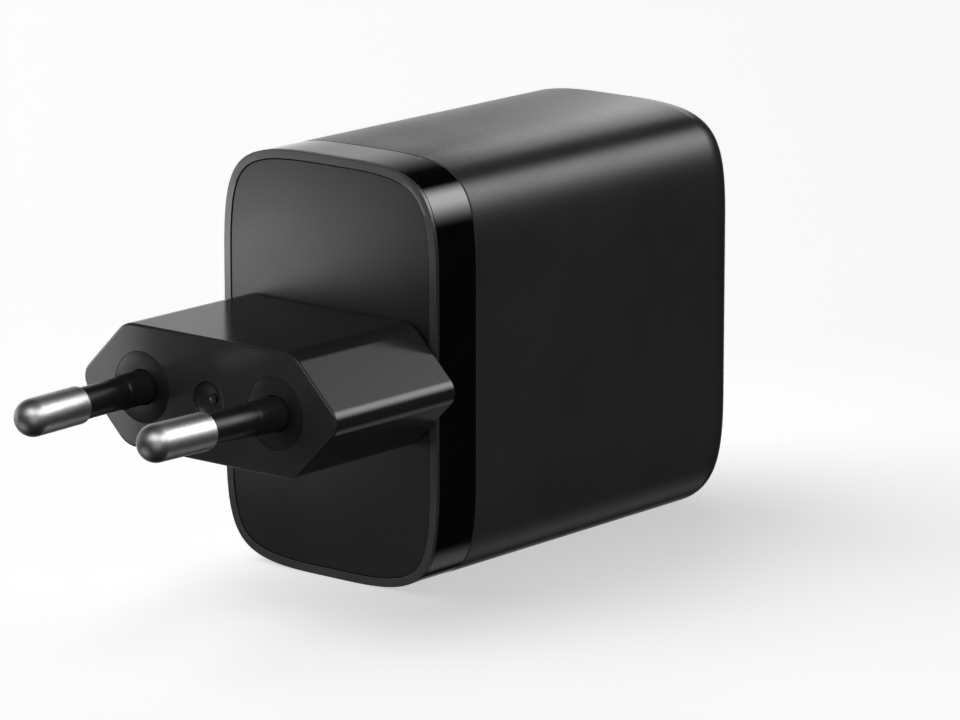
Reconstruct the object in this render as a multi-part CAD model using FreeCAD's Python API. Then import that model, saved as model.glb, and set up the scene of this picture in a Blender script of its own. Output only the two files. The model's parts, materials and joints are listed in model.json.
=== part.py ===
import FreeCAD, Part
import math
import os

# USB wall charger: a fixed two-pin plug block on the back of a tall slim housing.
# Frame, in mm: the origin is the centre of the plug face that meets the socket, midway
# between the pins. +X runs along the pair of pins, +Y from the wall into the charger, +Z up.

os.makedirs("parts", exist_ok=True)
V = FreeCAD.Vector

# Body: one rounded outline, 29.8 by 45.8, carried from the back face to the port face.
half_x = 14.88
half_z = 22.9
corner_box = 12.3
corner_pull = 0.85
back_y = 19.0
front_y = 72.9
front_round = 6.7
wall = 1.8

# Gloss band behind the back face, and the joints either side of it.
rim_depth = 0.45
rim_width = 0.95
band_start = 19.52
band_end = 25.5
housing_start = 25.6
band_wall = 0.4
plate_drop = 0.1
plate_thick = 1.8
plate_gap = 0.07

# Plug block: a flattened hexagon with round tips.
tip_x = 18.4
flat_x = 11.75
plug_half_z = 6.65
tip_round = 1.9
flat_round = 3.0
tenon_x = 12.2
tenon_z = 4.2
tenon_end = 24.5
groove_depth = 0.7
gate_radius = 1.97
gate_wall = 0.3
gate_depth = 1.05
gate_lip = 0.2
nib_radius = 0.5
nib_height = 0.3

# Pins: 4 mm, sleeved for half their length, leaning towards each other.
pin_x = 9.3
pin_lean = 0.045
pin_length = 19.0
pin_radius = 2.0
sleeve_end = 10.0
sleeve_radius = 1.7
collar_end = 3.6
collar_radius = 1.825
shank_radius = 1.35
shank_end = 26.2
bush_radius = 3.8
bush_depth = 2.6

# Boards.
board_x = -8.2
board_thick = 1.2
board_half_z = 17.9
port_board_y = 60.4

# Ports, from the top down: two USB-C, one USB-A.
port_z = {"usb_c_upper": 11.0, "usb_c_lower": 1.0, "usb_a": -10.5}
mouth_y = 72.5
c_width = 8.94
c_height = 3.26
a_width = 13.14
a_height = 5.72
shell_wall = 0.31

gap = 0.06


def box(x0, x1, y0, y1, z0, z1):
    return Part.makeBox(x1 - x0, y1 - y0, z1 - z0, V(x0, y0, z0))


def rod(x, y, z, radius, length, along):
    return Part.makeCylinder(radius, length, V(x, y, z), along)


def fused(first, others):
    return first.multiFuse(others).removeSplitter()


def outline(inset, y):
    # The body's outline moved in by inset: four straight sides and four eased corners.
    hx = half_x - inset
    hz = half_z - inset
    box_size = corner_box - inset
    lead = box_size * (1 - corner_pull)
    edges = []
    starts = [(hx, hz, 1, 1), (hx, hz, 1, -1), (hx, hz, -1, -1), (hx, hz, -1, 1)]
    corners = []
    for x, z, sx, sz in starts:
        upright = [V(sx * x, y, sz * (z - box_size)), V(sx * x, y, sz * (z - lead))]
        level = [V(sx * (x - lead), y, sz * z), V(sx * (x - box_size), y, sz * z)]
        poles = upright + level
        if sx * sz > 0:
            poles.reverse()
        corners.append(poles)
    for index, poles in enumerate(corners):
        curve = Part.BezierCurve()
        curve.setPoles(poles)
        edges.append(curve.toShape())
        after = corners[(index + 1) % 4]
        edges.append(Part.LineSegment(poles[-1], after[0]).toShape())
    return Part.Face(Part.Wire(edges))


def body_block(inset, y0, y1):
    return outline(inset, y0).extrude(V(0, y1 - y0, 0))


def rim_edges(shape, y):
    return [e for e in shape.Edges
            if abs(e.BoundBox.YMin - y) < 1e-4 and abs(e.BoundBox.YMax - y) < 1e-4]


def long_edges(shape, length):
    return [e for e in shape.Edges if abs(e.BoundBox.YLength - length) < 1e-4]


def stadium(width, height, y0, y1, z):
    # A flat-sided block whose two narrow ends are half round.
    radius = height / 2
    flat = width / 2 - radius
    middle = box(-flat, flat, y0, y1, z - radius, z + radius)
    ends = [rod(side * flat, y0, z, radius, y1 - y0, V(0, 1, 0)) for side in (-1, 1)]
    return fused(middle, ends)


def turned(points):
    # Revolve a list of (radius, distance out from the plug face) about the pin's own axis.
    profile = [V(0, 0, points[0][1])]
    profile += [V(r, 0, s) for r, s in points]
    profile += [V(0, 0, points[-1][1]), profile[0]]
    return Part.Face(Part.makePolygon(profile)).revolve(V(0, 0, 0), V(0, 0, 1), 360)


def on_pin(shape, side):
    # Local +Z becomes the pin's outward direction, leaning to the middle of the plug.
    outward = V(-side * pin_lean, -1, 0)
    turn = FreeCAD.Rotation(V(0, 0, 1), outward)
    placed = shape.copy()
    placed.Placement = FreeCAD.Placement(V(side * pin_x, 0, 0), turn)
    return placed


def pin_at(side, y):
    return side * (pin_x + pin_lean * y)


def shrunk(face, share_x, share_z, y):
    # The same outline drawn smaller about its middle and moved along to y.
    place = FreeCAD.Matrix()
    place.scale(share_x, 1, share_z)
    place.move(V(0, y - face.BoundBox.YMin, 0))
    return face.OuterWire.transformGeometry(place)


def front_shape(inset, y0):
    # The body with its port end rounded over: straight up to the round, then a
    # quarter circle along which the whole outline shrinks about its middle.
    radius = front_round - inset
    turn_y = front_y - inset - radius
    face = outline(inset, turn_y)
    hx = half_x - inset
    hz = half_z - inset
    sections = []
    for step in range(9):
        angle = math.pi / 2 * step / 8
        shrink = radius * (1 - math.cos(angle))
        y = turn_y + radius * math.sin(angle)
        sections.append(shrunk(face, 1 - shrink / hx, 1 - shrink / hz, y))
    cap = Part.makeLoft(sections, True, False)
    return fused(body_block(inset, y0, turn_y), [cap])


def port_cutouts():
    cuts = []
    for name, z in port_z.items():
        if name == "usb_a":
            slot = box(-a_width / 2 - 0.18, a_width / 2 + 0.18, 69, 75,
                       z - a_height / 2 - 0.18, z + a_height / 2 + 0.18)
            cuts.append(slot.makeFillet(0.5, long_edges(slot, 6)))
        else:
            cuts.append(stadium(c_width + 0.36, c_height + 0.36, 69, 75, z))
    return cuts


def housing_shell():
    outer = front_shape(0, housing_start)
    outer = outer.makeFillet(0.2, rim_edges(outer, housing_start))
    hollow = outer.cut(front_shape(wall, housing_start - 1))
    ribs = []
    for side in (-1, 1):
        for x0 in (board_x - board_thick - 1.1, board_x + 0.1):
            rib = box(x0, x0 + 1, 31, 60.2, min(side * 17.3, side * 22.3),
                      max(side * 17.3, side * 22.3))
            ribs.append(rib)
    for x in (-5.5, 9.5):
        for z in (-15.5, 16.5):
            ribs.append(rod(x, port_board_y + board_thick + 0.06, z, 1.4, 11, V(0, 1, 0)))
    core = front_shape(wall / 2, housing_start)
    shell = fused(hollow, [rib.common(core) for rib in ribs])
    pockets = [box(side * (half_x - wall / 2 - 0.6) - 0.65, side * (half_x - wall / 2 - 0.6) + 0.65,
                   27.1, 28.5, z - 2.6, z + 2.6) for side in (-1, 1) for z in (-9, 9)]
    inner = body_block(1.2, housing_start, front_y - 10)
    pockets = [pocket.common(inner) for pocket in pockets]
    return shell.cut(port_cutouts() + pockets)


def gloss_band():
    ring = body_block(0, band_start, band_end)
    edges = rim_edges(ring, band_start) + rim_edges(ring, band_end)
    ring = ring.makeFillet(0.12, edges)
    return ring.cut(body_block(band_wall, band_start - 1, band_end + 1))


def back_frame():
    rim = body_block(0, back_y, back_y + rim_depth)
    rim = rim.makeFillet(0.18, rim_edges(rim, back_y))
    neck = body_block(band_wall + gap, back_y + rim_depth, band_end + 0.05)
    skirt = body_block(wall + 0.1, band_end + 0.05, 29.5)
    frame = fused(rim, [neck, skirt])
    hooks = [box(min(side * (half_x - 2.4), side * (half_x - 1.35)),
                 max(side * (half_x - 2.4), side * (half_x - 1.35)),
                 27.2, 28.4, z - 2.4, z + 2.4) for side in (-1, 1) for z in (-9, 9)]
    frame = fused(frame, hooks)
    seat = body_block(rim_width, back_y - 1, back_y + plate_drop + plate_thick + 0.05)
    opening = body_block(2.9, back_y, 31)
    tenon_room = box(-tenon_x - 0.3, tenon_x + 0.3, 20, 31, -tenon_z - 0.4, tenon_z + 0.4)
    return frame.cut([seat, opening, tenon_room])


def clamp_screw_spots():
    return [(x, z) for x in (-6.5, 6.5) for z in (-6.2, 6.2)]


def back_plate():
    y0 = back_y + plate_drop
    plate = body_block(rim_width + plate_gap, y0, y0 + plate_thick)
    plate = plate.makeFillet(0.1, rim_edges(plate, y0))
    window = box(-tenon_x - 0.08, tenon_x + 0.08, 18, 23, -tenon_z - 0.08, tenon_z + 0.08)
    holes = [rod(x, y0 + 0.6, z, 0.72, 3, V(0, 1, 0)) for x, z in clamp_screw_spots()]
    return plate.cut([window] + holes)


def gate_recess():
    # A dished recess left by the moulding gate: a short wall, then a hollow floor.
    rise = gate_depth - gate_wall
    ball = (gate_radius ** 2 + rise ** 2) / (2 * rise)
    dish = Part.makeSphere(ball, V(0, gate_depth - ball, 0))
    return dish.common(rod(0, -1, 0, gate_radius, gate_depth + 2, V(0, 1, 0)))


def plug_body():
    top = [V(-flat_x, 0, plug_half_z), V(flat_x, 0, plug_half_z), V(tip_x, 0, 0)]
    bottom = [V(flat_x, 0, -plug_half_z), V(-flat_x, 0, -plug_half_z), V(-tip_x, 0, 0)]
    section = Part.Face(Part.makePolygon(top + bottom + [top[0]]))
    length = back_y - 0.05
    block = section.extrude(V(0, length, 0))
    sides = long_edges(block, length)
    tips = [e for e in sides if abs(e.BoundBox.Center.x) > flat_x + 1]
    flats = [e for e in sides if abs(e.BoundBox.Center.x) < flat_x + 1]
    block = block.makeFillet(tip_round, tips)
    flats = [e for e in long_edges(block, length)
             if abs(abs(e.BoundBox.Center.z) - plug_half_z) < 1e-4
             and abs(abs(e.BoundBox.Center.x) - flat_x) < 1e-4]
    block = block.makeFillet(flat_round, flats)
    block = block.makeFillet(0.3, rim_edges(block, 0) + rim_edges(block, length))
    tenon = box(-tenon_x, tenon_x, length - 0.5, tenon_end, -tenon_z, tenon_z)
    block = fused(block, [tenon])
    cuts = []
    for z in (-tenon_z, tenon_z):
        cuts.append(box(-9.5, 9.5, 21.0, 22.75, z - groove_depth, z + groove_depth))
    for side in (-1, 1):
        cuts.append(rod(side * pin_x, -1, 0, bush_radius + 0.05, bush_depth + 1.05, V(0, 1, 0)))
        bore = [(collar_radius + gap, 1), (collar_radius + gap, -6.1), (shank_radius + gap, -6.1)]
        bore += [(shank_radius + gap, -13), (2.1, -13), (2.1, -14.6)]
        bore += [(shank_radius + gap, -14.6), (shank_radius + gap, -27)]
        cuts.append(on_pin(turned(bore), side))
    cuts.append(gate_recess())
    block = block.cut(cuts)
    lip = [e for e in block.Edges if e.BoundBox.YMax < 1e-4 and abs(e.BoundBox.XLength
           - 2 * gate_radius) < 1e-3]
    block = block.makeFillet(gate_lip, lip)
    nib = rod(0, gate_depth - nib_height, 0, nib_radius, 2 * nib_height, V(0, 1, 0))
    return fused(block, [nib])


def pin(side):
    straight = pin_length - pin_radius
    lower = [V(0, 0, -shank_end), V(shank_radius, 0, -shank_end), V(shank_radius, 0, -14.5),
             V(2.04, 0, -14.5), V(2.04, 0, -13.1), V(shank_radius, 0, -13.1),
             V(shank_radius, 0, sleeve_end + 0.04), V(pin_radius - 0.2, 0, sleeve_end + 0.04),
             V(pin_radius, 0, sleeve_end + 0.24), V(pin_radius, 0, straight)]
    edges = [Part.LineSegment(a, b).toShape() for a, b in zip(lower, lower[1:])]
    bulge = V(pin_radius * math.sin(math.pi / 4), 0, straight + pin_radius * math.cos(math.pi / 4))
    edges.append(Part.Arc(lower[-1], bulge, V(0, 0, pin_length)).toShape())
    edges.append(Part.LineSegment(V(0, 0, pin_length), lower[0]).toShape())
    face = Part.Face(Part.Wire(edges))
    return on_pin(face.revolve(V(0, 0, 0), V(0, 0, 1), 360), side)


def sleeve(side):
    outside = turned([(collar_radius, -6), (collar_radius, collar_end - 0.1),
                      (sleeve_radius, collar_end + 0.1), (sleeve_radius, sleeve_end)])
    bore = turned([(shank_radius + 0.04, -7), (shank_radius + 0.04, sleeve_end + 1)])
    return on_pin(outside.cut(bore), side)


def pin_bush(side):
    ring = rod(side * pin_x, 0, 0, bush_radius, bush_depth, V(0, 1, 0))
    ring = ring.makeFillet(0.1, rim_edges(ring, 0))
    bore = turned([(collar_radius + gap, 2), (collar_radius + gap, -4)])
    return ring.cut(on_pin(bore, side))


def plug_clamps():
    bars = []
    for side in (-1, 1):
        inner = side * (tenon_z - groove_depth + 0.08)
        outer = side * 8.4
        bar = box(-9.2, 9.2, 21.06, 22.6, min(inner, outer), max(inner, outer))
        for x, z in clamp_screw_spots():
            bar = bar.cut(rod(x, 20, z, 0.85, 4, V(0, 1, 0)))
        bars.append(bar)
    return Part.makeCompound(bars)


def clamp_screws():
    screws = []
    for x, z in clamp_screw_spots():
        head = rod(x, 22.65, z, 1.45, 0.9, V(0, 1, 0))
        head = head.makeFillet(0.25, rim_edges(head, 23.55))
        shank = rod(x, 19.95, z, 0.66, 2.9, V(0, 1, 0))
        screw = fused(head, [shank])
        cross = [box(x - 0.7, x + 0.7, 23.1, 24, z - 0.15, z + 0.15),
                 box(x - 0.15, x + 0.15, 23.1, 24, z - 0.7, z + 0.7)]
        screws.append(screw.cut(cross))
    return Part.makeCompound(screws)


def contact_cup(side):
    # A cup pressed over the inner end of a pin.
    outside = turned([(1.95, -26.9), (1.95, -24.65)])
    bore = turned([(shank_radius + 0.05, -26.35), (shank_radius + 0.05, -24)])
    return on_pin(outside.cut(bore), side)


def contact_left():
    drop = box(-11.6, board_x - board_thick - 0.08, 26.5, 26.9, -7, 0)
    leg = box(board_x - board_thick - 0.5, board_x - board_thick - 0.08, 26.5, 34, -7, -4.5)
    return fused(contact_cup(-1), [drop, leg])


def contact_right():
    rise = box(9, 11.6, 26.5, 26.9, 0, 7)
    cross = box(board_x + 0.08, 11.6, 26.5, 26.9, 4.5, 7)
    leg = box(board_x + 0.08, board_x + 0.5, 26.5, 33, 4.5, 7)
    return fused(contact_cup(1), [rise, cross, leg])


def main_board():
    board = box(board_x - board_thick, board_x, 28.5, 64, -board_half_z, board_half_z)
    slots = [box(board_x - 3, board_x + 1, port_board_y - 0.1, port_board_y + board_thick + 0.1,
                 z - 2.1, z + 2.1) for z in (-10, 10)]
    return board.cut(slots)


def port_board():
    board = box(board_x + 0.3, 11.8, port_board_y, port_board_y + board_thick, -16.8, 17.4)
    tabs = [box(board_x - board_thick - 0.4, board_x + 1, port_board_y,
                port_board_y + board_thick, z - 2, z + 2) for z in (-10, 10)]
    return fused(board, tabs)


def port_start():
    return port_board_y + board_thick + 0.08


def usb_c_shell(z):
    outer = stadium(c_width, c_height, port_start(), mouth_y, z)
    inner = stadium(c_width - 2 * shell_wall, c_height - 2 * shell_wall, 60, 74, z)
    return outer.cut(inner)


def usb_c_tongue(z):
    width = c_width - 2 * shell_wall - 0.1
    height = c_height - 2 * shell_wall - 0.1
    block = stadium(width, height, port_start() + 0.05, 66.3, z)
    blade = box(-3.35, 3.35, 66, mouth_y - 0.7, z - 0.35, z + 0.35)
    blade = blade.makeFillet(0.15, rim_edges(blade, mouth_y - 0.7))
    return fused(block, [blade])


def usb_c_contacts(z):
    strips = []
    for index in range(12):
        x = (index - 5.5) * 0.5
        for low in (z - 0.42, z + 0.36):
            strips.append(box(x - 0.13, x + 0.13, 66.5, mouth_y - 1.1, low, low + 0.06))
    return Part.makeCompound(strips)


def usb_a_shell(z):
    outer = box(-a_width / 2, a_width / 2, port_start(), mouth_y, z - a_height / 2,
                z + a_height / 2)
    outer = outer.makeFillet(0.5, long_edges(outer, mouth_y - port_start()))
    inner = box(-a_width / 2 + shell_wall, a_width / 2 - shell_wall, 60, 74,
                z - a_height / 2 + shell_wall, z + a_height / 2 - shell_wall)
    return outer.cut(inner)


def usb_a_tongue(z):
    side = a_width / 2 - shell_wall - 0.06
    rise = a_height / 2 - shell_wall - 0.06
    block = box(-side, side, port_start() + 0.05, 65.2, z - rise, z + rise)
    blade = box(-5.55, 5.55, 65, mouth_y - 0.6, z + 0.35, z + 2.2)
    return fused(block, [blade])


def usb_a_contacts(z):
    strips = [box(x - 0.6, x + 0.6, 65.3, mouth_y - 1.2, z + 0.12, z + 0.33)
              for x in (-3.5, -1.0, 1.0, 3.5)]
    return Part.makeCompound(strips)


core_y0 = 46.7
core_y1 = 59.0


def transformer_core():
    halves = []
    for x0, x1 in ((-7.4, 0.7), (0.75, 8.9)):
        halves.append(box(x0, x1, core_y0, core_y1, -10.8, 10.8))
    windows = [box(-4.8, 6.3, core_y0 - 1, core_y1 + 1, min(side * 4.0, side * 8.4),
                   max(side * 4.0, side * 8.4)) for side in (-1, 1)]
    return Part.makeCompound([half.cut(windows) for half in halves])


def ring_about_leg(x0, x1, inner, thick):
    # A rounded square tube around the transformer's middle leg, whose axis is X.
    middle = (core_y0 + core_y1) / 2
    reach_y = (core_y1 - core_y0) / 2
    outer = box(x0, x1, middle - reach_y - inner - thick, middle + reach_y + inner + thick,
                -4.0 - inner - thick, 4.0 + inner + thick)
    hole = box(x0 - 1, x1 + 1, middle - reach_y - inner, middle + reach_y + inner,
               -4.0 - inner, 4.0 + inner)
    return outer.cut(hole)


def transformer_bobbin():
    tube = ring_about_leg(-4.7, 6.2, 0.08, 0.3)
    flanges = []
    for x0 in (-4.7, 5.7):
        flanges.append(ring_about_leg(x0, x0 + 0.5, 0.08, 0.9))
    return fused(tube, flanges)


def transformer_winding():
    return ring_about_leg(-4.1, 5.6, 0.42, 0.3)


def transformer_tape():
    return ring_about_leg(-4.1, 5.6, 0.76, 0.16)


choke_y = 32.8
choke_z = 12.2
choke_x = -0.4


def choke_ring(inner, outer, half_width):
    ring = rod(choke_x, choke_y - half_width, choke_z, outer, 2 * half_width, V(0, 1, 0))
    return ring.cut(rod(choke_x, choke_y - 9, choke_z, inner, 18, V(0, 1, 0)))


def choke_core():
    return choke_ring(3.2, 5.4, 1.9)


def choke_windings():
    # Two coils, one on each half of the ring, with a gap between them at top and bottom.
    coil = choke_ring(2.5, 6.1, 2.6).cut(choke_ring(3.12, 5.48, 1.98))
    coils = []
    for x0, x1 in ((choke_x - 7, choke_x - 1.1), (choke_x + 1.1, choke_x + 7)):
        coils.append(coil.common(box(x0, x1, choke_y - 4, choke_y + 4, choke_z - 7, choke_z + 7)))
    return Part.makeCompound(coils)


def choke_base():
    return box(board_x + 0.06, choke_x - 6.2, choke_y - 3, choke_y + 3, choke_z - 4.4,
               choke_z + 4.8)


def x_capacitor():
    case = box(board_x + 0.06, 3.5, 29.6, 35.2, -10.6, 3.0)
    return case.makeFillet(0.5, [e for e in case.Edges if e.BoundBox.XMin > 3.4])


def fuse():
    case = box(board_x + 0.06, -0.6, 29.8, 33.8, -17.0, -12.0)
    return case.makeFillet(0.6, [e for e in case.Edges if e.BoundBox.XMin > -0.7])


bulk_spots = [(41.6, 11.9), (41.6, -11.9)]
bulk_radius = 4.6
bulk_top = 10.9


def bulk_capacitors():
    cans = []
    for y, z in bulk_spots:
        can = rod(board_x + 1.6, y, z, bulk_radius, bulk_top - board_x - 1.6, V(1, 0, 0))
        can = can.makeFillet(0.5, [e for e in can.Edges if e.BoundBox.XMin > bulk_top - 0.1])
        score = [box(bulk_top - 0.2, bulk_top + 1, y - 0.15, y + 0.15, z - 3, z + 3),
                 box(bulk_top - 0.2, bulk_top + 1, y - 3, y + 3, z - 0.15, z + 0.15)]
        cans.append(can.cut(score))
    return Part.makeCompound(cans)


def bulk_seals():
    return Part.makeCompound([rod(board_x + 0.06, y, z, bulk_radius - 0.6, 1.5, V(1, 0, 0))
                              for y, z in bulk_spots])


def polymer_capacitors():
    cans = []
    for y, z in ((50.0, 14.0), (56.9, 14.0), (50.0, -14.0)):
        can = rod(board_x + 0.06, y, z, 3.15, 8.5, V(1, 0, 0))
        cans.append(can.makeFillet(0.4, [e for e in can.Edges if e.BoundBox.XMin > board_x + 8]))
    return Part.makeCompound(cans)


def output_inductor():
    lower = rod(board_x + 0.06, 56.9, -14.0, 3.1, 1.2, V(1, 0, 0))
    waist = rod(board_x + 1.2, 56.9, -14.0, 2.4, 3.6, V(1, 0, 0))
    upper = rod(board_x + 4.7, 56.9, -14.0, 3.1, 1.2, V(1, 0, 0))
    return fused(lower, [waist, upper])


def y_capacitor():
    disc = rod(-3.6, 41.2, 0, 3.9, 3.2, V(0, 1, 0))
    return disc.makeFillet(1.1, rim_edges(disc, 41.2) + rim_edges(disc, 44.4))


def bridge_rectifier():
    case = box(board_x + 0.06, 0.5, 37.0, 39.4, -5.2, 5.2)
    return case.cut(box(-2, 1, 36, 41, 4.2, 6))


def power_chip():
    side = board_x - board_thick
    return box(side - 0.96, side - 0.06, 44, 52, -4, 4)


def optocoupler():
    side = board_x - board_thick
    return box(side - 1.9, side - 0.06, 37.5, 42, 8, 14.4)


def thermal_pad():
    side = board_x - board_thick
    return box(side - 1.96, side - 1.0, 43, 53, -5, 5)


def heat_spreader():
    side = board_x - board_thick
    return box(side - 2.8, side - 2.02, 37, 58, -12, 12)


def insulating_sheet():
    side = board_x - board_thick
    return box(side - 3.15, side - 2.88, 35.5, 59.5, -14.2, 14.2)


def port_controllers():
    y1 = port_board_y - 0.06
    return Part.makeCompound([box(x - 2, x + 2, y1 - 0.85, y1, z - 2, z + 2)
                              for x, z in ((7.5, 13.2), (7.5, -13.4))])


pieces = {
    "housing_shell": housing_shell(),
    "gloss_band": gloss_band(),
    "back_frame": back_frame(),
    "back_plate": back_plate(),
    "plug_body": plug_body(),
    "pin_left": pin(-1),
    "pin_right": pin(1),
    "sleeve_left": sleeve(-1),
    "sleeve_right": sleeve(1),
    "pin_bush_left": pin_bush(-1),
    "pin_bush_right": pin_bush(1),
    "plug_clamps": plug_clamps(),
    "clamp_screws": clamp_screws(),
    "contact_left": contact_left(),
    "contact_right": contact_right(),
    "main_board": main_board(),
    "port_board": port_board(),
    "usb_c_upper_shell": usb_c_shell(port_z["usb_c_upper"]),
    "usb_c_upper_tongue": usb_c_tongue(port_z["usb_c_upper"]),
    "usb_c_upper_contacts": usb_c_contacts(port_z["usb_c_upper"]),
    "usb_c_lower_shell": usb_c_shell(port_z["usb_c_lower"]),
    "usb_c_lower_tongue": usb_c_tongue(port_z["usb_c_lower"]),
    "usb_c_lower_contacts": usb_c_contacts(port_z["usb_c_lower"]),
    "usb_a_shell": usb_a_shell(port_z["usb_a"]),
    "usb_a_tongue": usb_a_tongue(port_z["usb_a"]),
    "usb_a_contacts": usb_a_contacts(port_z["usb_a"]),
    "transformer_core": transformer_core(),
    "transformer_bobbin": transformer_bobbin(),
    "transformer_winding": transformer_winding(),
    "transformer_tape": transformer_tape(),
    "choke_core": choke_core(),
    "choke_windings": choke_windings(),
    "choke_base": choke_base(),
    "x_capacitor": x_capacitor(),
    "fuse": fuse(),
    "bulk_capacitors": bulk_capacitors(),
    "bulk_seals": bulk_seals(),
    "polymer_capacitors": polymer_capacitors(),
    "output_inductor": output_inductor(),
    "y_capacitor": y_capacitor(),
    "bridge_rectifier": bridge_rectifier(),
    "power_chip": power_chip(),
    "optocoupler": optocoupler(),
    "thermal_pad": thermal_pad(),
    "heat_spreader": heat_spreader(),
    "insulating_sheet": insulating_sheet(),
    "port_controllers": port_controllers(),
}

for name, shape in pieces.items():
    shape.exportStep("parts/" + name + ".step")
    print(name, len(shape.Solids), round(shape.Volume, 2), shape.isValid())
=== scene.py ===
import bpy, bmesh, json, math
from mathutils import Vector, Matrix


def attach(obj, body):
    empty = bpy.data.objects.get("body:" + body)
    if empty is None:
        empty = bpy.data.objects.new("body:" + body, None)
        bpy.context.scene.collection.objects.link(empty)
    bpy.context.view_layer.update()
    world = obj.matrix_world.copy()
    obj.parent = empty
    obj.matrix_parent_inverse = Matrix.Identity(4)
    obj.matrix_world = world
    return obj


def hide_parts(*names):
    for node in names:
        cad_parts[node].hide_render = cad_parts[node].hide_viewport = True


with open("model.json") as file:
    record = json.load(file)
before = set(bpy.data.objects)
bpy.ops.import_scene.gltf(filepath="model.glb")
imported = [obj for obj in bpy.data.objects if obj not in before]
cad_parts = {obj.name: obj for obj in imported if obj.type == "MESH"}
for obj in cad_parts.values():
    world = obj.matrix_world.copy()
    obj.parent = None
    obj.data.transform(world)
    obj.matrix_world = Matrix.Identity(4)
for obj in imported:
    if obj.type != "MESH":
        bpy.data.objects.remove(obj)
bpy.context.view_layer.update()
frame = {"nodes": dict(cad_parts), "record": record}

scene = bpy.context.scene
print("frame loaded:", len(frame["nodes"]), "nodes")

mm = 0.001
white = (1, 1, 1, 1)


class Wire:
    # A shader value that adds, subtracts and multiplies like a number.
    def __init__(self, maker, socket):
        self.maker, self.socket = maker, socket

    def math(self, operation, one, two):
        return self.maker.add("ShaderNodeMath", {"operation": operation}, {0: one, 1: two})

    def __add__(self, other): return self.math("ADD", self, other)
    def __radd__(self, other): return self.math("ADD", other, self)
    def __sub__(self, other): return self.math("SUBTRACT", self, other)
    def __rsub__(self, other): return self.math("SUBTRACT", other, self)
    def __mul__(self, other): return self.math("MULTIPLY", self, other)
    def __rmul__(self, other): return self.math("MULTIPLY", other, self)
    def __pow__(self, other): return self.math("POWER", self, other)
    def __rpow__(self, other): return self.math("POWER", other, self)


class ShaderNodes:
    # Adds nodes to one shader tree.
    def __init__(self, tree):
        self.tree = tree

    def add(self, kind, settings=None, values=None, out=0):
        node = self.tree.nodes.new(kind)
        for key, value in (settings or {}).items():
            setattr(node, key, value)
        for key, value in (values or {}).items():
            if isinstance(value, Wire):
                self.tree.links.new(value.socket, node.inputs[key])
            else:
                node.inputs[key].default_value = value
        return Wire(self, node.outputs[out])

    def ease(self, wire, span, toLow, toHigh):
        # Goes smoothly from toLow to toHigh while the wire crosses the span.
        return self.add("ShaderNodeMapRange", {"clamp": True, "interpolation_type": "SMOOTHSTEP"},
                        {0: wire, 1: span[0], 2: span[1], 3: toLow, 4: toHigh})


class Finish(ShaderNodes):
    # One material, built round its Principled shader.
    def __init__(self, name, **fixed):
        self.material = bpy.data.materials.new(name)
        self.material.use_nodes = True
        super().__init__(self.material.node_tree)
        self.shader = self.tree.nodes["Principled BSDF"]
        for socket, value in fixed.items():
            self.shader.inputs[socket.replace("_", " ")].default_value = value

    def place(self):
        return self.add("ShaderNodeTexCoord", out="Object")

    def noise(self, size, detail, rough, at=None):
        return self.add("ShaderNodeTexNoise", {}, {"Vector": at or self.place(), "Scale": 1 / size,
                                                   "Detail": detail, "Roughness": rough})

    def feed(self, socket, wire):
        self.tree.links.new(wire.socket, self.shader.inputs[socket])

    def twoTone(self, factor, first, second):
        self.feed("Base Color", self.add("ShaderNodeMix", {"data_type": "RGBA"},
                                         {0: factor, 6: (*first, 1), 7: (*second, 1)}, out=2))

    def bump(self, height, strength, depth):
        self.feed("Normal", self.add("ShaderNodeBump", {}, {
            "Strength": strength, "Distance": depth, "Height": height}))


noiseSpan = (0.3, 0.7)     # the part of a noise's range that a roughness follows
mottleSpan = (0.35, 0.65)  # the narrower part that a mottled colour follows


def shade(colour, share):
    return tuple(c * share for c in colour)


# Moulded plastic: a fine spark-eroded grain, with faint clouds in its tone and polish.
# Sizes and depths are in millimetres, here and in the other finishes.
def mouldedPlastic(name, look):
    f = Finish(name, Specular_IOR_Level=look["specular"], IOR=1.5)
    grain = f.noise(look["grain"] * mm, 3.0, 0.6)
    cloud = f.noise(look["cloud"] * mm, 4.0, 0.55)
    f.twoTone(f.ease(cloud * 0.7 + grain * 0.3, mottleSpan, 0.0, 1.0),
              shade(look["colour"], 1 - look["variation"]), shade(look["colour"], 1 + look["variation"]))
    f.feed("Roughness", f.ease(cloud, noiseSpan, look["rough"] - look["roughSpread"],
                               look["rough"] + look["roughSpread"])
           + (grain - 0.5) * look["grainRough"])
    f.bump(grain, look["grainStrength"], look["grainDepth"] * mm)
    return f.material


housingLook = {"colour": (0.0112, 0.0112, 0.0117), "variation": 0.08, "specular": 0.27,
               "rough": 0.29, "roughSpread": 0.015, "grainRough": 0.12,
               "grain": 0.24, "cloud": 11.0, "grainStrength": 0.40, "grainDepth": 0.012}
backLook = {"colour": (0.0030, 0.0031, 0.0032), "variation": 0.08, "specular": 0.5,
            "rough": 0.36, "roughSpread": 0.02, "grainRough": 0.14,
            "grain": 0.26, "cloud": 9.0, "grainStrength": 0.5, "grainDepth": 0.014}
# The rim's colour is lighter than the back plate's: partly its own smoother finish, partly painted light
# standing in for the light its outward-sloped face catches.
rimTonePlusPaintedLight = dict(backLook, colour=(0.0090, 0.0091, 0.0094), specular=0.78, rough=0.33)
plugLook = {"colour": (0.0066, 0.0066, 0.0069), "variation": 0.08, "specular": 0.32,
            "rough": 0.18, "roughSpread": 0.012, "grainRough": 0.08,
            "grain": 0.24, "cloud": 7.0, "grainStrength": 0.28, "grainDepth": 0.010}
sleeveLook = {"colour": (0.0040, 0.0040, 0.0042), "variation": 0.12, "specular": 0.35,
              "rough": 0.32, "roughSpread": 0.03, "grainRough": 0.06,
              "grain": 0.2, "cloud": 3.0, "grainStrength": 0.15, "grainDepth": 0.008}
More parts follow.
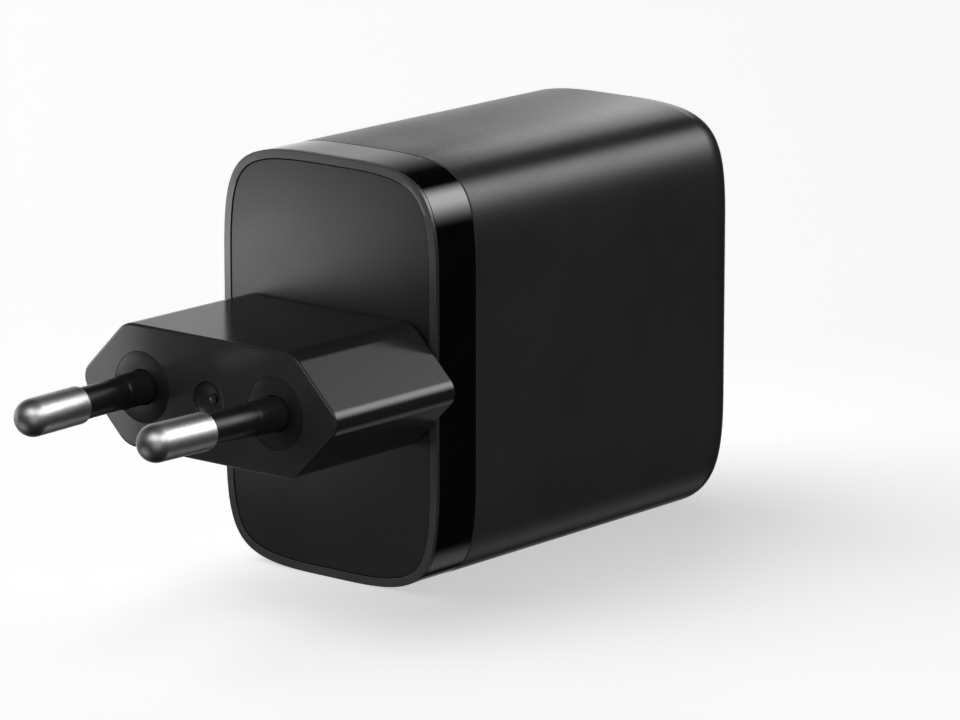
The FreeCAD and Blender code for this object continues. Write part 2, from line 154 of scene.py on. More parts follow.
# The bush's colour is darker than the plug's: partly its own darker plastic, partly painted shade for the
# shadow that falls on the disc round the pin.
bushTonePlusPaintedShade = dict(sleeveLook, colour=(0.0035, 0.0035, 0.0037), specular=0.14, rough=0.34)
bandLook = {"colour": (0.0009, 0.0009, 0.0010), "variation": 0.15, "specular": 0.5,
            "rough": 0.055, "roughSpread": 0.012, "grainRough": 0.02,
            "grain": 0.9, "cloud": 8.0, "grainStrength": 0.03, "grainDepth": 0.01}

nickelLook = {"colour": (0.66, 0.66, 0.65), "dull": (0.56, 0.56, 0.55), "cloud": 1.6,
              "rough": 0.38, "dullRough": 0.07,
              "turning": 0.09, "turnRough": 0.10, "turnStrength": 0.10, "turnDepth": 0.012}


# Nickel plate: satin, with faint turning marks round the pin and a little dulling.
def nickelPlate(name, look):
    f = Finish(name, Metallic=1.0, Specular_IOR_Level=0.5)
    along = f.add("ShaderNodeSeparateXYZ", {}, {0: f.place()}, out=1)
    turns = f.add("ShaderNodeTexNoise", {"noise_dimensions": "1D"},
                  {"W": along * (1 / (look["turning"] * mm)), "Scale": 1.0, "Detail": 3.0})
    cloud = f.noise(look["cloud"] * mm, 4.0, 0.6)
    f.twoTone(f.ease(cloud, (0.35, 0.7), 0, 1), look["colour"], look["dull"])
    f.feed("Roughness", f.ease(cloud, (0.35, 0.75), look["rough"], look["rough"] + look["dullRough"])
           + (turns - 0.5) * look["turnRough"])
    f.bump(turns, look["turnStrength"], look["turnDepth"] * mm)
    return f.material


metalGrain = {"cloud": 2.5, "shade": 0.8, "smoother": 0.06, "rougher": 0.08, "strength": 0.12, "depth": 0.01}


# Any other metal: a base tone, blotches and brushed or drawn streaks.
def plainMetal(name, look):
    f = Finish(name, Metallic=1.0)
    streak = f.add("ShaderNodeMapping", {}, {0: f.place(), 3: look["stretch"]})
    lines = f.noise(look["line"] * mm, 3.0, 0.6, streak)
    cloud = f.noise(metalGrain["cloud"] * mm, 4.0, 0.6)
    f.twoTone(f.ease(cloud * 0.6 + lines * 0.4, mottleSpan, 0, 1),
              look["colour"], shade(look["colour"], metalGrain["shade"]))
    f.feed("Roughness", f.ease(lines, noiseSpan, look["rough"] - metalGrain["smoother"],
                               look["rough"] + metalGrain["rougher"]))
    f.bump(lines, metalGrain["strength"], metalGrain["depth"] * mm)
    return f.material


innerGrain = {"cloud": 4.0, "shade": 0.72, "smoother": 0.05, "rougher": 0.08, "strength": 0.2, "depth": 0.02}


# Inner parts: coloured bodies with speckle and a light surface texture.
def innerBody(name, look):
    f = Finish(name, Specular_IOR_Level=0.4)
    speck = f.noise(look["speck"] * mm, 3.0, 0.6)
    cloud = f.noise(innerGrain["cloud"] * mm, 3.0, 0.5)
    f.twoTone(f.ease(speck * 0.6 + cloud * 0.4, mottleSpan, 0, 1),
              look["colour"], shade(look["colour"], innerGrain["shade"]))
    f.feed("Roughness", f.ease(cloud, noiseSpan, look["rough"] - innerGrain["smoother"],
                               look["rough"] + innerGrain["rougher"]))
    f.bump(speck, innerGrain["strength"], innerGrain["depth"] * mm)
    return f.material


coilGrain = {"cloud": 1.5, "paintedGrooveShade": 0.35, "smooth": 0.25, "rough": 0.4, "strength": 0.6, "depth": 0.06}


# Enamelled wire laid in turns: ridges that run round the coil, with painted shade darkening the grooves
# between them.
def woundWire(name, look):
    f = Finish(name, Metallic=0.85)
    across = f.add("ShaderNodeSeparateXYZ", {}, {0: f.place()}, out=look["axis"])
    turns = f.add("ShaderNodeMath", {"operation": "SINE"},
                  {0: across * (2 * math.pi / (look["pitch"] * mm))})
    ridge = turns * 0.5 + 0.5
    cloud = f.noise(coilGrain["cloud"] * mm, 3.0, 0.6)
    # Painted shade: the grooves between the turns are coloured darker than the ridges.
    f.twoTone(ridge, shade(look["colour"], coilGrain["paintedGrooveShade"]), look["colour"])
    f.feed("Roughness", f.ease(cloud, noiseSpan, coilGrain["smooth"], coilGrain["rough"]))
    f.bump(ridge, coilGrain["strength"], coilGrain["depth"] * mm)
    return f.material


materials = {
    "housing_black": mouldedPlastic("housing black", housingLook),
    "band_black": mouldedPlastic("band black", bandLook),
    "back_black": mouldedPlastic("back black", backLook),
    "plug_black": mouldedPlastic("plug black", plugLook),
    "bush_black": mouldedPlastic("sleeve black", sleeveLook),
    "rim": mouldedPlastic("rim black", rimTonePlusPaintedLight),
    "bush": mouldedPlastic("bush black", bushTonePlusPaintedShade),
    "pin_nickel": nickelPlate("pin nickel", nickelLook),
    "tongue_black": mouldedPlastic("tongue black", dict(sleeveLook, rough=0.45)),
    "contact_gold": plainMetal("contact gold", {"colour": (0.83, 0.62, 0.25), "rough": 0.22,
                                                "stretch": (1, 0.1, 1), "line": 0.1}),
    "spring_brass": plainMetal("spring brass", {"colour": (0.75, 0.56, 0.25), "rough": 0.3,
                                                "stretch": (1, 0.1, 1), "line": 0.15}),
    "steel": plainMetal("socket steel", {"colour": (0.60, 0.60, 0.61), "rough": 0.24,
                                         "stretch": (1, 0.1, 1), "line": 0.12}),
    "screw_steel": plainMetal("screw steel", {"colour": (0.32, 0.32, 0.33), "rough": 0.35,
                                              "stretch": (1, 1, 1), "line": 0.15}),
    "can_aluminium": plainMetal("can aluminium", {"colour": (0.74, 0.74, 0.75), "rough": 0.33,
                                                  "stretch": (0.1, 1, 1), "line": 0.2}),
    "spreader": plainMetal("spreader aluminium", {"colour": (0.68, 0.68, 0.69), "rough": 0.4,
                                                  "stretch": (1, 1, 0.1), "line": 0.25}),
    "board_green": innerBody("board green", {"colour": (0.015, 0.12, 0.05), "rough": 0.35, "speck": 0.6}),
    "ferrite": innerBody("ferrite", {"colour": (0.05, 0.05, 0.053), "rough": 0.65, "speck": 0.12}),
    "copper": woundWire("copper wire", {"colour": (0.70, 0.30, 0.12), "axis": 0, "pitch": 0.45}),
    "tape_yellow": innerBody("winding tape", {"colour": (0.75, 0.52, 0.05), "rough": 0.32, "speck": 1.2}),
    "bobbin_black": innerBody("bobbin black", {"colour": (0.02, 0.02, 0.02), "rough": 0.5, "speck": 0.3}),
    "box_yellow": innerBody("capacitor case", {"colour": (0.68, 0.43, 0.05), "rough": 0.42, "speck": 0.4}),
    "fuse_brown": innerBody("fuse case", {"colour": (0.16, 0.06, 0.03), "rough": 0.4, "speck": 0.4}),
    "rubber_black": innerBody("seal rubber", {"colour": (0.02, 0.02, 0.02), "rough": 0.75, "speck": 0.2}),
    "ceramic_blue": innerBody("ceramic coating", {"colour": (0.03, 0.12, 0.38), "rough": 0.35, "speck": 0.5}),
    "chip_black": innerBody("chip package", {"colour": (0.03, 0.03, 0.032), "rough": 0.55, "speck": 0.1}),
    "pad_grey": innerBody("thermal pad", {"colour": (0.33, 0.36, 0.42), "rough": 0.8, "speck": 0.15}),
    "sheet_clear": innerBody("insulating film", {"colour": (0.70, 0.66, 0.55), "rough": 0.25, "speck": 2.0}),
}
slotOf = {part["node"]: part["material_slot"] for part in frame["record"]["subparts"]}
for node, obj in frame["nodes"].items():
    obj.data.materials.clear()
    obj.data.materials.append(materials[slotOf[node]])
print("materials ready:", len(materials))


def looseObject(name, bm):
    bmesh.ops.recalc_face_normals(bm, faces=bm.faces)
    mesh = bpy.data.meshes.new(name)
    bm.to_mesh(mesh)
    bm.free()
    obj = bpy.data.objects.new(name, mesh)
    scene.collection.objects.link(obj)
    return obj


def dressPiece(piece, node, sharpAngle=32.0, finish=None):
    # Makes a finished piece that rides on the body and stands for its CAD node.
    mesh = piece.data
    mesh.polygons.foreach_set("use_smooth", [True] * len(mesh.polygons))
    mesh.set_sharp_from_angle(angle=math.radians(sharpAngle))
    even = piece.modifiers.new("even shading", "WEIGHTED_NORMAL")
    even.keep_sharp = True
    even.weight = 100
    slotName = slotOf[node]
    mesh.materials.clear()
    mesh.materials.append(materials[finish or slotName])
    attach(piece, "root")
    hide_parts(node)


def outlinePoints(look, cornerSteps=28):
    # The body's outline as points and outward directions, round from the top right corner.
    hx, hz = look["halfX"], look["halfZ"]
    box, pull = look["cornerBox"], look["cornerPull"]
    points = []
    for sx, sz in ((1, 1), (1, -1), (-1, -1), (-1, 1)):
        level = [Vector((sx * (hx - box), sz * hz)), Vector((sx * (hx - box * (1 - pull)), sz * hz))]
        upright = [Vector((sx * hx, sz * (hz - box * (1 - pull)))), Vector((sx * hx, sz * (hz - box)))]
        a, b, c, d = level + upright
        if sx * sz < 0:
            a, b, c, d = d, c, b, a
        for i in range(cornerSteps + 1):
            t = i / cornerSteps
            u = 1 - t
            p = a * u ** 3 + b * 3 * u * u * t + c * 3 * u * t * t + d * t ** 3
            slope = (b - a) * 3 * u * u + (c - b) * 6 * u * t + (d - c) * 3 * t * t
            outward = Vector((-slope.y, slope.x)).normalized()
            if outward.dot(p) < 0:
                outward = -outward
            points.append((p, outward))
    return points


def slotPoints(width, height, radius, steps=14):
    # A rounded slot's outline and outward directions.
    points = []
    for cx, cz, start in ((1, 1, 0), (-1, 1, 90), (-1, -1, 180), (1, -1, 270)):
        for i in range(steps + 1):
            a = math.radians(start + 90 * i / steps)
            n = Vector((math.cos(a), math.sin(a)))
            points.append((Vector((cx * (width / 2 - radius), cz * (height / 2 - radius))) + n * radius, n))
    return points


def ringAt(points, inset, y):
    return [Vector(((p.x - n.x * inset) * mm, y * mm, (p.y - n.y * inset) * mm)) for p, n in points]


def shrunkRing(points, base, shrink, y):
    # The outline at one inset, then drawn smaller about its middle.
    shareX = 1 - shrink / (body["halfX"] - base)
    shareZ = 1 - shrink / (body["halfZ"] - base)
    return [Vector((v.x * shareX, y * mm, v.z * shareZ)) for v in ringAt(points, base, y)]


def circle(x, radius, y, steps):
    # A ring about a line along Y that passes through x.
    return [Vector(((x + radius * math.cos(a)) * mm, y * mm, radius * math.sin(a) * mm))
            for a in (2 * math.pi * i / steps for i in range(steps))]


def lifted(ring, z):
    return [v + Vector((0, 0, z * mm)) for v in ring]


def roundStep(fromInset, fromY, toInset, toY, steps, bulge):
    # A quarter round from one (inset, y) to another: "side" leaves along y, "level" along the inset.
    found = []
    for i in range(steps + 1):
        a = math.pi / 2 * i / steps
        if bulge == "side":
            found.append((toInset + (fromInset - toInset) * math.cos(a),
                          fromY + (toY - fromY) * math.sin(a)))
        else:
            found.append((fromInset + (toInset - fromInset) * math.sin(a),
                          toY + (fromY - toY) * math.cos(a)))
    return found


def skinned(name, rings, closed=False):
    # Joins rings of equal length with four-sided faces, then caps both ends or closes the loop.
    bm = bmesh.new()
    loops = [[bm.verts.new(v) for v in ring] for ring in rings]
    pairs = list(zip(loops, loops[1:])) + ([(loops[-1], loops[0])] if closed else [])
    for one, two in pairs:
        count = len(one)
        for i in range(count):
            j = (i + 1) % count
            bm.faces.new((one[i], one[j], two[j], two[i]))
    if not closed:
        bm.faces.new(list(reversed(loops[0])))
        bm.faces.new(loops[-1])
    return looseObject(name, bm)


def combine(piece, joined=(), cut=()):
    # Joins closed shapes to a piece, cuts others out of it, and removes them all.
    for operation, tools in (("UNION", joined), ("DIFFERENCE", cut)):
        for tool in tools:
            step = piece.modifiers.new("combine", "BOOLEAN")
            step.operation, step.solver, step.object = operation, "EXACT", tool
    graph = bpy.context.evaluated_depsgraph_get()
    combined = bpy.data.meshes.new_from_object(piece.evaluated_get(graph))
    piece.modifiers.clear()
    old = piece.data
    piece.data = combined
    bpy.data.meshes.remove(old)
    for tool in (*joined, *cut):
        bpy.data.objects.remove(tool)


# The body's outline, from its rounded-square corner curves, and its depth along Y.
body = {"halfX": 14.88, "halfZ": 22.9, "cornerBox": 12.3, "cornerPull": 0.85,
        "back": 19.0, "front": 72.9, "frontRound": 6.7, "wall": 1.8}
bodyPoints = outlinePoints(body)

housing = {"start": 25.57, "edge": 0.14, "innerRing": 45.0, "sideRings": (30.0, 40.0, 50.0, 60.0),
           "portClear": 0.18, "portLip": 0.25, "portFlare": 1.05, "portOutside": 0.5, "portDepth": 4.0,
           "ports": ({"z": 11.0, "width": 8.94, "height": 3.26, "round": 1.62},     # USB-C, upper
                     {"z": 1.0, "width": 8.94, "height": 3.26, "round": 1.62},      # USB-C, lower
                     {"z": -10.5, "width": 13.14, "height": 5.72, "round": 0.55})}  # USB-A


def portCutter(port):
    # The hole for one socket, with a rounded lip at the front.
    clear, lip, front = housing["portClear"], housing["portLip"], body["front"]
    points = slotPoints(port["width"] + 2 * clear, port["height"] + 2 * clear, port["round"] + clear)
    profile = [(-lip * housing["portFlare"], front + housing["portOutside"])]
    profile += roundStep(-lip, front, 0, front - lip, 6, "level")
    profile += [(0, front - housing["portDepth"])]
    return skinned("portCut", [lifted(ringAt(points, inset, y), port["z"]) for inset, y in profile])


def buildHousing():
    wall, front, big = body["wall"], body["front"], body["frontRound"]
    turnY = front - big
    inside = [shrunkRing(bodyPoints, wall, shrink, y)
              for shrink, y in reversed(roundStep(0, turnY, big - wall, front - wall, 12, "side"))]
    outside = [shrunkRing(bodyPoints, 0, shrink, y)
               for shrink, y in roundStep(0, turnY, big, front, 28, "side")]
    start, e = housing["start"], housing["edge"]
    profile = [(wall, housing["innerRing"]), (wall, start)]
    profile += roundStep(e, start, 0, start + e, 5, "level")
    profile += [(0, y) for y in housing["sideRings"]]
    piece = skinned("housingShell", inside + [ringAt(bodyPoints, inset, y) for inset, y in profile] + outside)
    combine(piece, cut=[portCutter(port) for port in housing["ports"]])
    dressPiece(piece, "housing_shell", 28)


band = {"start": 19.50, "end": 25.52, "wall": 0.4, "edge": 0.10, "middleRing": 22.5}


def buildBand():
    e = band["edge"]
    profile = [(band["wall"], band["end"]), (band["wall"], band["start"]), (e, band["start"])]
    profile += roundStep(e, band["start"], 0, band["start"] + e, 5, "level")[1:]
    profile += [(0, band["middleRing"])]
    profile += roundStep(0, band["end"] - e, e, band["end"], 5, "side")
    piece = skinned("glossBand", [ringAt(bodyPoints, inset, y) for inset, y in profile], closed=True)
    dressPiece(piece, "gloss_band")


# The back frame: a raised rim outside, and a skirt inside that carries the band and the housing.
rim = {"depth": 0.45, "width": 0.95, "edge": 0.07, "innerEdge": 0.04, "slope": 0.02, "seatDepth": 2.0,
       "bandGap": 0.06, "housingGap": 0.05, "skirtOutside": 1.9, "skirtInside": 2.9, "skirtEnd": 29.5}


def buildFrame():
    y0, e, s = body["back"], rim["edge"], rim["innerEdge"]
    w, seat = rim["width"], y0 + rim["seatDepth"]
    under, behind = band["wall"] + rim["bandGap"], band["end"] + rim["housingGap"]
    profile = [(rim["skirtInside"], rim["skirtEnd"]), (rim["skirtInside"], seat), (w, seat), (w, y0 + s)]
    profile += roundStep(w, y0 + s, w - s, y0, 4, "side")[1:]
    profile += roundStep(e, y0 + rim["slope"], 0, y0 + rim["slope"] + e, 6, "level")
    profile += [(0, y0 + rim["depth"]), (under, y0 + rim["depth"]), (under, behind),
                (rim["skirtOutside"], behind), (rim["skirtOutside"], rim["skirtEnd"])]
    piece = skinned("backFrame", [ringAt(bodyPoints, inset, y) for inset, y in profile], closed=True)
    dressPiece(piece, "back_frame", finish="rim")


plate = {"drop": 0.1, "gap": 0.07, "edge": 0.08, "thick": 1.8, "faceRing": 2.0,
         "windowWidth": 24.56, "windowHeight": 8.56, "windowRound": 0.2, "windowFrom": 18.0, "windowTo": 23.0}


def buildPlate():
    y0 = body["back"] + plate["drop"]
    inset = rim["width"] + plate["gap"]
    e = plate["edge"]
    profile = [(inset + e + plate["faceRing"], y0)]
    profile += roundStep(inset + e, y0, inset, y0 + e, 5, "level")
    profile += [(inset, y0 + plate["thick"])]
    piece = skinned("backPlate", [ringAt(bodyPoints, i, y) for i, y in profile])
    points = slotPoints(plate["windowWidth"], plate["windowHeight"], plate["windowRound"], 3)
    window = skinned("window", [ringAt(points, 0, y) for y in (plate["windowFrom"], plate["windowTo"])])
    combine(piece, cut=[window])
    dressPiece(piece, "back_plate", 30)


plug = {"tipX": 18.4, "flatX": 11.75, "halfZ": 6.65, "tipRound": 1.9, "flatRound": 3.0,
        "length": 18.95, "edge": 0.30, "sideRings": (6, 12),
        "tenonX": 12.2, "tenonZ": 4.2, "tenonRound": 0.15, "tenonSink": 0.5, "tenonEnd": 21.0,
        "pinX": 9.3, "lean": 0.045, "bushRadius": 3.8, "bushDepth": 2.6,
        "seatGap": 0.04, "seatDeeper": 0.05, "cutterStart": -1}

# The moulding-gate recess in the plug's face, and the nib on its floor: the nib's top edge is
# given as shares of its radius with depths below its top.
gate = {"radius": 1.97, "wall": 0.3, "depth": 1.05, "edge": 0.2, "edgeSteps": 6, "floorSteps": 14,
        "middle": 0.06, "nibRadius": 0.5, "nibHeight": 0.3, "nibRoot": 0.2,
        "nibEdge": ((0.8, 0), (0.95, 0.03), (1, 0.08))}


def plugOutline(steps=14):
    # The flattened hexagon with its six corners rounded.
    tip, flat, halfZ = plug["tipX"], plug["flatX"], plug["halfZ"]
    tipRound, flatRound = plug["tipRound"], plug["flatRound"]
    corners = [(tip, 0, tipRound), (flat, halfZ, flatRound), (-flat, halfZ, flatRound),
               (-tip, 0, tipRound), (-flat, -halfZ, flatRound), (flat, -halfZ, flatRound)]
    points = []
    count = len(corners)
    for i, (x, z, radius) in enumerate(corners):
        here = Vector((x, z))
        before = Vector(corners[i - 1][:2]) - here
        after = Vector(corners[(i + 1) % count][:2]) - here
        before.normalize()
        after.normalize()
        half = math.acos(max(-1, min(1, before.dot(after)))) / 2
        middle = here + (before + after).normalized() * (radius / math.sin(half))
        first = Vector((before.y, -before.x))
        if first.dot(here) < 0:
            first = -first
        last = Vector((after.y, -after.x))
        if last.dot(here) < 0:
            last = -last
        a0 = math.atan2(first.y, first.x)
        a1 = math.atan2(last.y, last.x)
        while a1 - a0 > math.pi:
            a1 -= 2 * math.pi
        while a1 - a0 < -math.pi:
            a1 += 2 * math.pi
        for k in range(steps + 1):
            a = a0 + (a1 - a0) * k / steps
            n = Vector((math.cos(a), math.sin(a)))
            points.append((middle + n * radius, n))
    return points


def roundTool(name, x, profile, steps=96):
    # A closed round shape about a line along Y: the profile is (radius, y) points.
    return skinned(name, [circle(x, r, y, steps) for r, y in profile])


def gateProfile():
    # From the face inwards: a rounded lip, a short wall, a hollow floor.
    r, lip, depth = gate["radius"], gate["edge"], gate["depth"]
    profile = [(r + lip, plug["cutterStart"])]
    for i in range(gate["edgeSteps"] + 1):
        a = math.pi / 2 * i / gate["edgeSteps"]
        profile.append((r + lip * (1 - math.sin(a)), lip * (1 - math.cos(a))))
    rise = depth - gate["wall"]
    ball = (r * r + rise * rise) / (2 * rise)
    for i in range(gate["floorSteps"]):
        across = r * (1 - i / gate["floorSteps"])
        profile.append((across, depth - ball + math.sqrt(ball * ball - across * across)))
    return profile + [(gate["middle"], depth)]


def nibProfile():
    radius, top = gate["nibRadius"], gate["depth"] - gate["nibHeight"]
    return ([(radius * share, top + drop) for share, drop in gate["nibEdge"]]
            + [(radius, gate["depth"] + gate["nibRoot"])])


def buildPlug():
    points = plugOutline()
    e, end = plug["edge"], plug["length"]
    profile = roundStep(e, 0, 0, e, 6, "level") + [(0, y) for y in plug["sideRings"]]
    profile += roundStep(0, end - e, e, end, 6, "side")
    piece = skinned("plugBody", [ringAt(points, i, y) for i, y in profile])
    tenonPoints = slotPoints(2 * plug["tenonX"], 2 * plug["tenonZ"], plug["tenonRound"], 2)
    tenon = skinned("tenon", [ringAt(tenonPoints, 0, y)
                              for y in (end - plug["tenonSink"], plug["tenonEnd"])])
    seat = plug["bushRadius"] + plug["seatGap"]
    seatProfile = [(seat, plug["cutterStart"]), (seat, plug["bushDepth"] + plug["seatDeeper"])]
    cutters = [roundTool("bushSeat", side * plug["pinX"], seatProfile) for side in (-1, 1)]
    cutters.append(roundTool("gateSeat", 0, gateProfile()))
    combine(piece, joined=[tenon], cut=cutters)
    combine(piece, joined=[roundTool("gateNib", 0, nibProfile(), 40)])
    dressPiece(piece, "plug_body", 28)


# Lengths run outwards from the plug's face along the pin. The shoulder is where the bare metal
# starts: how far each point is inside the full radius, and how far along from the sleeve.
pin = {"length": 19.0, "radius": 2.0, "shank": 1.35, "shankEnd": -26.2, "steps": 72,
       "flangeRadius": 2.04, "flangeFrom": -14.5, "flangeTo": -13.1, "sleeveGap": 0.04,
       "shoulder": ((0.24, 0), (0.10, 0.05), (0.02, 0.16), (0, 0.3), (0, 3.5)), "tipSteps": 20}

# The thick collar slopes down to the thinner sleeve: each point is an offset from the collar's
# or the sleeve's radius, and from the collar's end.
sleeve = {"start": -6, "end": 10.0, "radius": 1.7, "collarEnd": 3.6, "collarRadius": 1.825,
          "collarSlope": ((0, -0.16), (-0.02, -0.06)), "sleeveSlope": ((0.04, 0.03), (0, 0.12)),
          "boreGap": 0.04, "edgeDepth": 0.04, "edgeLength": 0.1}

# The bush lies almost flush in the plug's face. Edge points are offsets from its bore or its
# outside, and from its face.
bush = {"boreGap": 0.07, "sink": 0.012, "boreDepth": 0.1, "boreEdge": ((0.03, 0.02), (0.06, 0)),
        "outerEdge": ((0.03, 0), (0.01, 0.01), (0, 0.03)), "nearBore": 0.2}


def turnedPiece(name, node, side, profile, closed=False):
    # Turns (radius, distance out) points about the pin's leaning line.
    outward = Vector((-side * plug["lean"], -1, 0)).normalized()
    across = Vector((0, 0, 1))
    third = outward.cross(across)
    base = Vector((side * plug["pinX"], 0, 0))
    rings = [[(base + outward * s + (across * math.cos(a) + third * math.sin(a)) * r) * mm
              for a in (2 * math.pi * i / pin["steps"] for i in range(pin["steps"]))] for r, s in profile]
    dressPiece(skinned(name, rings, closed), node)


def buildPin(side, label):
    r, length, shank = pin["radius"], pin["length"], pin["shank"]
    start = sleeve["end"] + pin["sleeveGap"]
    profile = [(shank, pin["shankEnd"]), (shank, pin["flangeFrom"]), (pin["flangeRadius"], pin["flangeFrom"]),
               (pin["flangeRadius"], pin["flangeTo"]), (shank, pin["flangeTo"]), (shank, start)]
    profile += [(r - inside, start + along) for inside, along in pin["shoulder"]]
    profile += [(r, length - r)]
    for i in range(1, pin["tipSteps"]):
        a = math.pi / 2 * i / pin["tipSteps"]
        profile.append((r * math.cos(a), length - r + r * math.sin(a)))
    turnedPiece("pin" + label.title(), "pin_" + label, side, profile)


def buildSleeve(side, label):
    c, t = sleeve["collarRadius"], sleeve["radius"]
    step, end = sleeve["collarEnd"], sleeve["end"]
    bore = pin["shank"] + sleeve["boreGap"]
    profile = [(bore, sleeve["start"]), (c, sleeve["start"])]
    profile += [(c + out, step + along) for out, along in sleeve["collarSlope"]]
    profile += [(t + out, step + along) for out, along in sleeve["sleeveSlope"]]
    profile += [(t, end - sleeve["edgeLength"]), (t - sleeve["edgeDepth"], end), (bore, end)]
    turnedPiece("sleeve" + label.title(), "sleeve_" + label, side, profile, closed=True)


def buildBush(side, label):
    r, d, sink = plug["bushRadius"], plug["bushDepth"], bush["sink"]
    bore = sleeve["collarRadius"] + bush["boreGap"]
    profile = [(bore, d), (bore, bush["boreDepth"])]
    profile += [(bore + out, sink + drop) for out, drop in bush["boreEdge"]]
    profile += [(r - inside, sink + drop) for inside, drop in bush["outerEdge"]]
    profile += [(r, d)]
    rings = []
    for radius, y in profile:
        lean = plug["lean"] if radius <= bore + bush["nearBore"] else 0  # only the bore leans
        rings.append(circle(side * (plug["pinX"] + lean * y), radius, y, pin["steps"]))
    dressPiece(skinned("pinBush" + label.title(), rings, closed=True), "pin_bush_" + label, finish="bush")


buildHousing()
buildBand()
buildFrame()
buildPlate()
print("body built")
buildPlug()
for side, label in ((-1, "left"), (1, "right")):
    buildPin(side, label)
    buildSleeve(side, label)
    buildBush(side, label)
print("plug built")


# Sizes of the stage are in metres, and floorZ in millimetres.
stage = {"floorZ": -22.9, "floorDrop": 0.00005, "floorSize": 3.0, "floorTone": 0.75, "floorMottle": 0.99,
         "floorCloud": 0.35, "floorGlow": 0.57, "domeRadius": 2.4, "domeGlow": 1.05}
allButFloor = bpy.data.collections.new("lit by the side fills")


def floorMaterial():
    f = Finish("floor paint", Roughness=0.6, Specular_IOR_Level=0.2)
    cloud = f.noise(stage["floorCloud"], 3.0, 0.5)
    tone = (stage["floorTone"],) * 3
    f.twoTone(cloud, tone, shade(tone, stage["floorMottle"]))
    f.shader.inputs["Emission Color"].default_value = white
    f.shader.inputs["Emission Strength"].default_value = stage["floorGlow"]
    return f.material


def buildFloor():
    bm = bmesh.new()
    bmesh.ops.create_grid(bm, x_segments=8, y_segments=8, size=stage["floorSize"])
    floor = looseObject("floor", bm)
    floor.location.z = stage["floorZ"] * mm - stage["floorDrop"]
    floor.data.materials.append(floorMaterial())
    floor.visible_glossy = False
    floor.visible_diffuse = False
    allButFloor.objects.link(floor)
    allButFloor.collection_objects[0].light_linking.link_state = "EXCLUDE"


def buildDome():
    # A pale surround that only the camera sees.
    bm = bmesh.new()
    bmesh.ops.create_uvsphere(bm, u_segments=48, v_segments=24, radius=stage["domeRadius"])
    dome = looseObject("surround", bm)
    f = Finish("surround paint")
    glow = f.add("ShaderNodeEmission", {}, {"Color": white, "Strength": stage["domeGlow"]})
    f.tree.links.new(glow.socket, f.tree.nodes["Material Output"].inputs["Surface"])
    dome.data.materials.append(f.material)
    for way in ("visible_diffuse", "visible_glossy", "visible_transmission", "visible_shadow",
                "visible_volume_scatter"):
        setattr(dome, way, False)


# Each soft light of the surround: compass bearing from +Y towards +X, height in degrees,
# half width and half height in degrees, how much of it is even, and strength.
surround = {"base": 0.008, "aheadSpan": (0, 0.1), "lights": [
    {"bearing": -54, "height": -5, "across": 42, "up": 55, "even": 0.12, "strength": 1.15},
    {"bearing": 32, "height": 26, "across": 26, "up": 25, "even": 0.10, "strength": 7.0},
    {"bearing": 80, "height": 36, "across": 34, "up": 26, "even": 0.10, "strength": 3.0},
    {"bearing": 148, "height": 46, "across": 45, "up": 26, "even": 0.10, "strength": 2.6},
    {"bearing": 130, "height": 4, "across": 36, "up": 32, "even": 0.10, "strength": 0.60},
    {"bearing": 12, "height": -41, "across": 22, "up": 12, "even": 0.20, "strength": 0.42},
    {"bearing": -140, "height": -38, "across": 50, "up": 32, "even": 0.0, "strength": 0.40},
    {"bearing": -110, "height": 20, "across": 42, "up": 46, "even": 0.0, "strength": 0.15},
    {"bearing": -165, "height": 32, "across": 45, "up": 24, "even": 0.0, "strength": 0.16},
]}


def buildWorld():
    world = bpy.data.worlds.new("soft surround")
    world.use_nodes = True
    scene.world = world
    maker = ShaderNodes(world.node_tree)
    direction = maker.add("ShaderNodeTexCoord", out="Generated")

    def along(axis):
        return maker.add("ShaderNodeVectorMath", {"operation": "DOT_PRODUCT"},
                         {0: direction, 1: axis}, out="Value")

    total = None
    for light in surround["lights"]:
        turn, rise = math.radians(light["bearing"]), math.radians(light["height"])
        aim = Vector((math.sin(turn) * math.cos(rise), math.cos(turn) * math.cos(rise), math.sin(rise)))
        side = Vector((math.cos(turn), -math.sin(turn), 0))
        top = side.cross(aim)
        wide = along(side) * (1 / math.sin(math.radians(light["across"])))
        tall = along(top) * (1 / math.sin(math.radians(light["up"])))
        reach = (wide * wide + tall * tall) ** 0.5
        ahead = maker.ease(along(aim), surround["aheadSpan"], 0, 1)
        lobe = maker.ease(reach, (light["even"], 1), light["strength"], 0) * ahead
        total = lobe if total is None else total + lobe
    total = total + surround["base"]
    world.cycles_visibility.diffuse = False  # seen only in glossy surfaces; the panels light the rest
    back = maker.tree.nodes["Background"]
    maker.tree.links.new(total.socket, back.inputs["Strength"])
    back.inputs["Color"].default_value = white


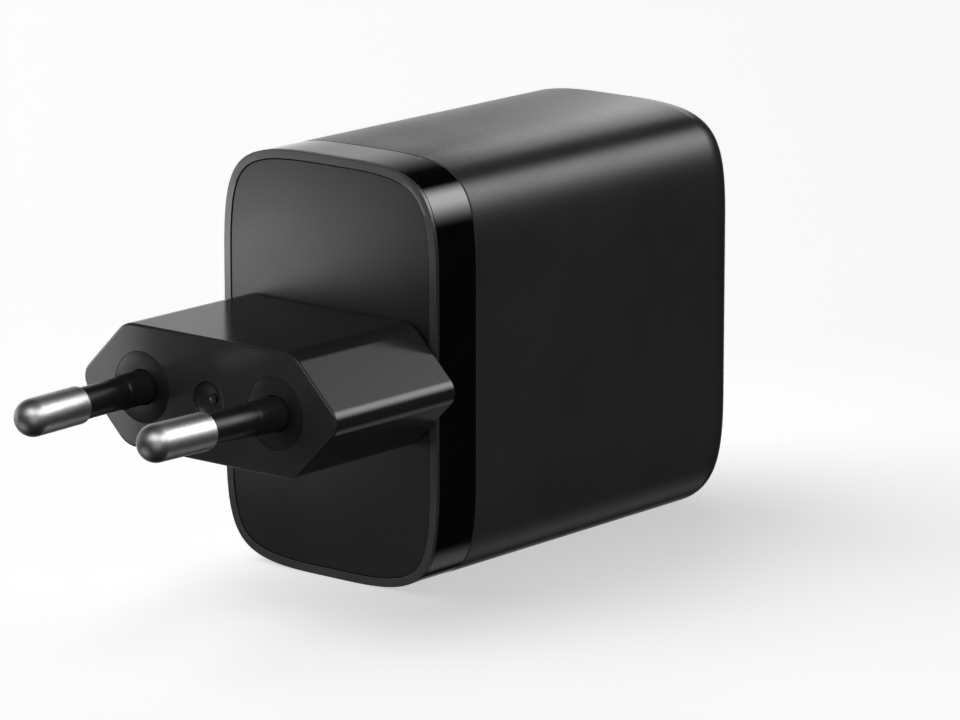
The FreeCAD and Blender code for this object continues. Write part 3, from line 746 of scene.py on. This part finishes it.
# Area lights, in metres, watts and degrees. A fill is left out of reflections, and one that
# sparesFloor doesn't light the floor.
middle = (0, 0.02, 0)
panels = [
    {"name": "overhead fill", "place": (-1.10, -0.70, 1.70), "size": (2.2, 2.2), "power": 40.0,
     "target": middle, "fill": True},
    {"name": "front fill", "place": (-0.80, -1.80, 0.16), "size": (1.6, 1.2), "power": 112.0,
     "target": middle, "fill": True, "sparesFloor": True},
    {"name": "side fill", "place": (1.72, -0.75, 0.62), "size": (1.4, 1.2), "power": 60.0,
     "target": middle, "fill": True, "sparesFloor": True},
    {"name": "back fill", "place": (-1.60, 1.20, 0.25), "size": (1.2, 1.0), "power": 70.0,
     "target": middle, "fill": True, "sparesFloor": True},
    {"name": "plate card", "place": (-0.0530, -0.0025, 0.0060), "size": (0.040, 0.018), "power": 0.0017,
     "target": (-0.012, 0.0180, 0.006), "spread": 70},
    {"name": "face card", "place": (-0.0446, -0.0233, -0.006), "size": (0.018, 0.024), "power": 0.0008,
     "target": (-0.0123, 0.0058, -0.002), "spread": 70},
    {"name": "roof card", "place": (-0.026, 0.112, 0.053), "size": (0.040, 0.038), "power": 0.0070,
     "target": (0.005, 0.045, 0.022), "roll": 47},
]


def addPanel(look):
    data = bpy.data.lights.new(look["name"], "AREA")
    data.shape = "RECTANGLE"
    data.size, data.size_y = look["size"]
    data.energy = look["power"]
    if "spread" in look:
        data.spread = math.radians(look["spread"])
    panel = bpy.data.objects.new(look["name"], data)
    panel.location = look["place"]
    away = Vector(look["place"]) - Vector(look["target"])
    panel.rotation_euler = away.to_track_quat("Z", "Y").to_euler()
    panel.rotation_euler.rotate_axis("Z", math.radians(look.get("roll", 0)))
    panel.visible_camera = False
    panel.visible_glossy = not look.get("fill", False)
    if look.get("sparesFloor", False):
        panel.light_linking.receiver_collection = allButFloor
    scene.collection.objects.link(panel)


# The camera stands on the plug's side, turned to its right and raised, in degrees, and it is
# moved sideways and up from the line through its aim, in millimetres.
cameraLook = {"aim": (0, 15, 0), "azimuth": 39.757, "elevation": 12.948, "distance": 590.06,
              "pan": 18.548, "lift": 1.579, "lens": 210.1425, "sensor": 36.0, "clip": (0.01, 20)}


def buildCamera():
    a, e = math.radians(cameraLook["azimuth"]), math.radians(cameraLook["elevation"])
    right = Vector((math.cos(a), math.sin(a), 0))
    back = Vector((math.sin(a) * math.cos(e), -math.cos(a) * math.cos(e), math.sin(e)))
    up = back.cross(right)
    place = (Vector(cameraLook["aim"]) + right * cameraLook["pan"] + up * cameraLook["lift"]
             + back * cameraLook["distance"])
    data = bpy.data.cameras.new("camera")
    data.sensor_width = cameraLook["sensor"]
    data.lens = cameraLook["lens"]
    data.clip_start, data.clip_end = cameraLook["clip"]
    camera = bpy.data.objects.new("camera", data)
    turn = Matrix((right, up, back)).transposed().to_4x4()
    camera.matrix_world = Matrix.Translation(place * mm) @ turn
    scene.collection.objects.link(camera)
    scene.camera = camera


buildFloor()
buildDome()
buildWorld()
for look in panels:
    addPanel(look)
buildCamera()
scene.view_settings.view_transform = "Standard"
scene.view_settings.look = "None"
print("stage ready")
